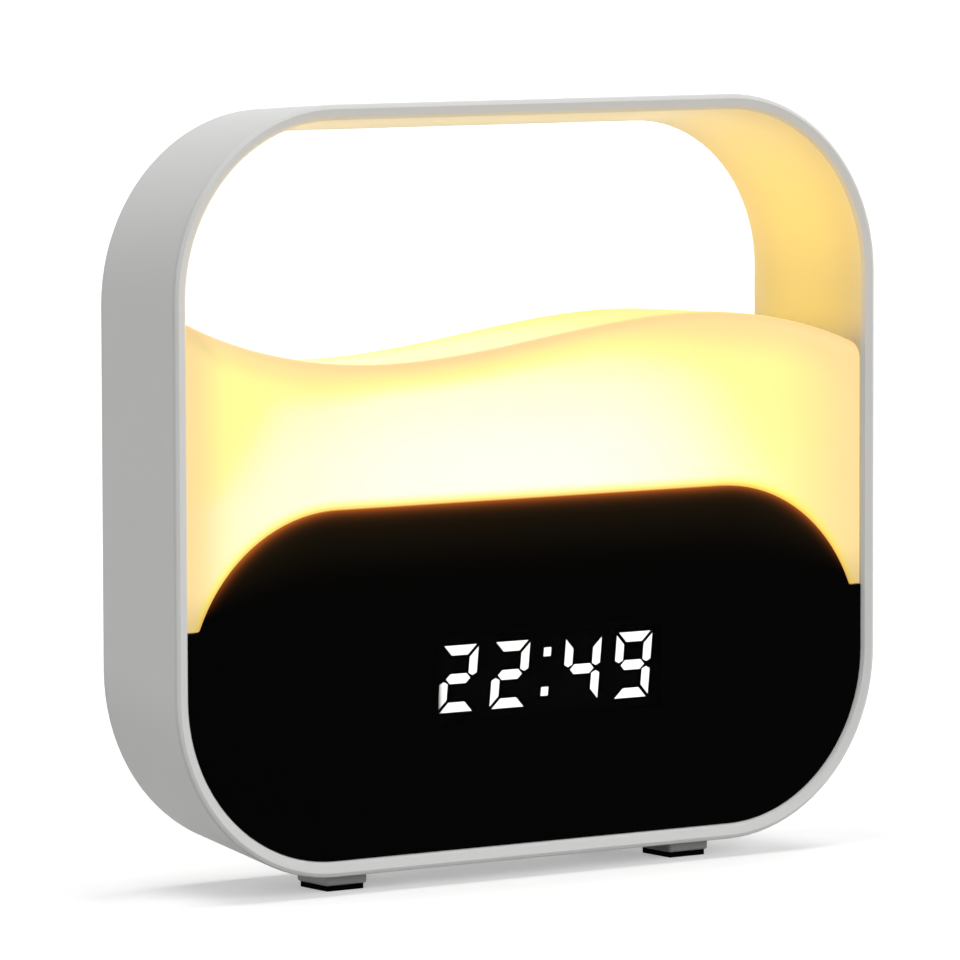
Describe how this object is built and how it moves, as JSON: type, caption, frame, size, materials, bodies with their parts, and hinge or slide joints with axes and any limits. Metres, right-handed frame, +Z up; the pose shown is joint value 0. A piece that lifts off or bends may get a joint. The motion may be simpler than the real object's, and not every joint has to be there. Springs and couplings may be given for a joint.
{
  "type": "night light alarm clock",
  "caption": "Desk night light and alarm clock: a drafted ring whose open top is the handle, a milky lamp hood with a wavy top, a black display panel and sprung set buttons at the back.",
  "frame": {"origin": "on the floor plane under the pads, at the middle of the width and of the depth", "axes": "+X to the right as seen from the front, -Y out of the display, +Z up"},
  "size_m": [0.1682, 0.0324, 0.153],
  "materials": {
    "shell_grey": "fine satin",
    "milky_diffuser": "satin, lit from inside",
    "smoked_lens": "satin gloss",
    "carrier_black": "matte",
    "module_black": "matte",
    "lit_white": "lit",
    "unlit_grey": "satin",
    "circuit_board": "lacquered",
    "lamp_board": "white lacquer",
    "reflector_white": "matte",
    "lamp_diode": "phosphor",
    "cover_grey": "fine satin",
    "switch_black": "matte",
    "chip_black": "matte",
    "connector_white": "matte",
    "socket_steel": "bright",
    "cell_wrap": "foil",
    "speaker_steel": "satin",
    "cone_paper": "fibrous",
    "magnet_black": "satin",
    "screw_steel": "zinc plated",
    "button_grey": "fine satin",
    "foot_grey": "satin",
    "pad_rubber": "matte"
  },
  "bodies": {
    "case": {"battery_board": "circuit_board", "battery_cell": "cell_wrap", "board_connector": "connector_white", "board_screws": "screw_steel", "controller_chip": "chip_black", "cover_screws": "screw_steel", "diffuser": "milky_diffuser", "display_board": "circuit_board", "display_lens": "smoked_lens", "display_module": "module_black", "display_screws": "screw_steel", "foot_block_front_left": "foot_grey", "foot_block_front_right": "foot_grey", "foot_block_rear_left": "foot_grey", "foot_block_rear_right": "foot_grey", "foot_pad_front_left": "pad_rubber", "foot_pad_front_right": "pad_rubber", "foot_pad_rear_left": "pad_rubber", "foot_pad_rear_right": "pad_rubber", "front_carrier": "carrier_black", "lamp_leds": "lamp_diode", "led_board": "lamp_board", "lit_segments": "lit_white", "main_board": "circuit_board", "rear_cover": "cover_grey", "reflector_tray": "reflector_white", "ring_shell": "shell_grey", "speaker_cone": "cone_paper", "speaker_frame": "speaker_steel", "speaker_magnet": "magnet_black", "switch_bodies": "switch_black", "unlit_segments": "unlit_grey", "usb_socket": "socket_steel", "usb_tongue": "switch_black"},
    "mode_button": {"button_mode": "button_grey", "plunger_mode": "switch_black"},
    "down_button": {"button_down": "button_grey", "plunger_down": "switch_black"},
    "light_button": {"button_light": "button_grey", "plunger_light": "switch_black"},
    "up_button": {"button_up": "button_grey", "plunger_up": "switch_black"},
    "alarm_button": {"button_alarm": "button_grey", "plunger_alarm": "switch_black"}
  },
  "joints": [
    {"name": "mode_press", "type": "slide", "parent": "case", "child": "mode_button", "axis": [0, -1, 0], "range_m": [0, 0.0005], "stiffness_N_per_m": 80, "springref_m": -0.001},
    {"name": "down_press", "type": "slide", "parent": "case", "child": "down_button", "axis": [0, -1, 0], "range_m": [0, 0.0005], "stiffness_N_per_m": 80, "springref_m": -0.001},
    {"name": "light_press", "type": "slide", "parent": "case", "child": "light_button", "axis": [0, -1, 0], "range_m": [0, 0.0005], "stiffness_N_per_m": 80, "springref_m": -0.001},
    {"name": "up_press", "type": "slide", "parent": "case", "child": "up_button", "axis": [0, -1, 0], "range_m": [0, 0.0005], "stiffness_N_per_m": 80, "springref_m": -0.001},
    {"name": "alarm_press", "type": "slide", "parent": "case", "child": "alarm_button", "axis": [0, -1, 0], "range_m": [0, 0.0005], "stiffness_N_per_m": 80, "springref_m": -0.001}
  ]
}
